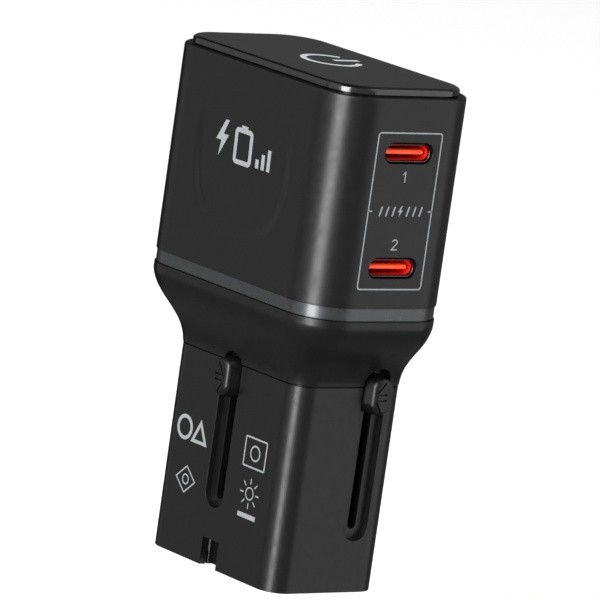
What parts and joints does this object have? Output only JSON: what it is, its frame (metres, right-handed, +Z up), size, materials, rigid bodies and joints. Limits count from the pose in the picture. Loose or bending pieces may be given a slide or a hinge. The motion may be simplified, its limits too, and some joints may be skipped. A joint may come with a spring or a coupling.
{
  "type": "usb wall charger",
  "caption": "Travel wall charger: a rounded rectangular head with USB-C ports on a flared neck and narrower stem, and thumb sliders that push flat or round mains pins out of the end.",
  "frame": {"origin": "on the end face of the stem, under the middle of the head", "axes": "+Z up from the end face to the cover, -Y out of the wide front face, +X out of the port face"},
  "size_m": [0.047, 0.0274, 0.0812],
  "materials": {
    "casing_black": "fine satin moulding, near black",
    "cover_gloss": "polished, near black",
    "accent_grey": "satin dark grey",
    "knob_black": "satin, engraved grip lines",
    "inner_plastic": "plain glass-filled moulding",
    "plated_contact": "nickel-plated brass",
    "bronze_strip": "stamped phosphor bronze",
    "spring_steel": "rolled strip",
    "port_steel": "drawn stainless steel",
    "tongue_orange": "orange-red moulding",
    "circuit_board": "green solder mask",
    "ferrite": "sintered, dark grey",
    "winding_tape": "yellow tape",
    "chip_black": "moulded package",
    "capacitor_can": "blue shrink sleeve",
    "safety_blue": "blue dipped disc",
    "thermal_silicone": "soft grey-blue pad",
    "spreader_aluminium": "mill finish",
    "insulating_film": "thin film",
    "wire_red": "insulated wire"
  },
  "bodies": {
    "root": {"top_cover": "cover_gloss", "head_shell": "casing_black", "accent_band": "accent_grey", "neck_housing": "casing_black", "stem_sleeve": "casing_black", "end_plate": "casing_black", "guide_divider": "inner_plastic", "front_detent_spring": "spring_steel", "side_detent_spring": "spring_steel", "contact_rail_left": "bronze_strip", "contact_rail_right": "bronze_strip", "port_board": "circuit_board", "port_shell_lower": "port_steel", "port_base_lower": "inner_plastic", "port_tongue_lower": "tongue_orange", "port_shell_upper": "port_steel", "port_base_upper": "inner_plastic", "port_tongue_upper": "tongue_orange", "transformer_core": "ferrite", "transformer_bobbin": "inner_plastic", "transformer_winding": "winding_tape", "input_board": "circuit_board", "fuse": "inner_plastic", "choke": "ferrite", "filter_capacitor": "winding_tape", "safety_capacitor": "safety_blue", "lead_left": "wire_red", "lead_right": "wire_red", "main_board": "circuit_board", "bridge_rectifier": "chip_black", "switch_chip": "chip_black", "controller_chip": "chip_black", "thermal_pad": "thermal_silicone", "heat_spreader": "spreader_aluminium", "insulating_sheet": "insulating_film", "bulk_capacitor_front": "capacitor_can", "bulk_capacitor_back": "capacitor_can", "output_capacitor_lower": "spreader_aluminium", "output_capacitor_upper": "spreader_aluminium"},
    "front_slider": {"front_knob": "knob_black", "blade_carrier": "inner_plastic", "blade_left": "plated_contact", "blade_right": "plated_contact", "blade_wiper_left": "bronze_strip", "blade_wiper_right": "bronze_strip"},
    "side_slider": {"side_knob": "knob_black", "pin_carrier": "inner_plastic", "pin_left": "plated_contact", "pin_right": "plated_contact", "pin_sleeve_left": "inner_plastic", "pin_sleeve_right": "inner_plastic", "pin_wiper_left": "bronze_strip", "pin_wiper_right": "bronze_strip"}
  },
  "joints": [
    {"name": "front_slide", "type": "slide", "parent": "root", "child": "front_slider", "axis": [0, 0, -1], "range_m": [0, 0.0172]},
    {"name": "side_slide", "type": "slide", "parent": "root", "child": "side_slider", "axis": [0, 0, -1], "range_m": [0, 0.0192]}
  ]
}
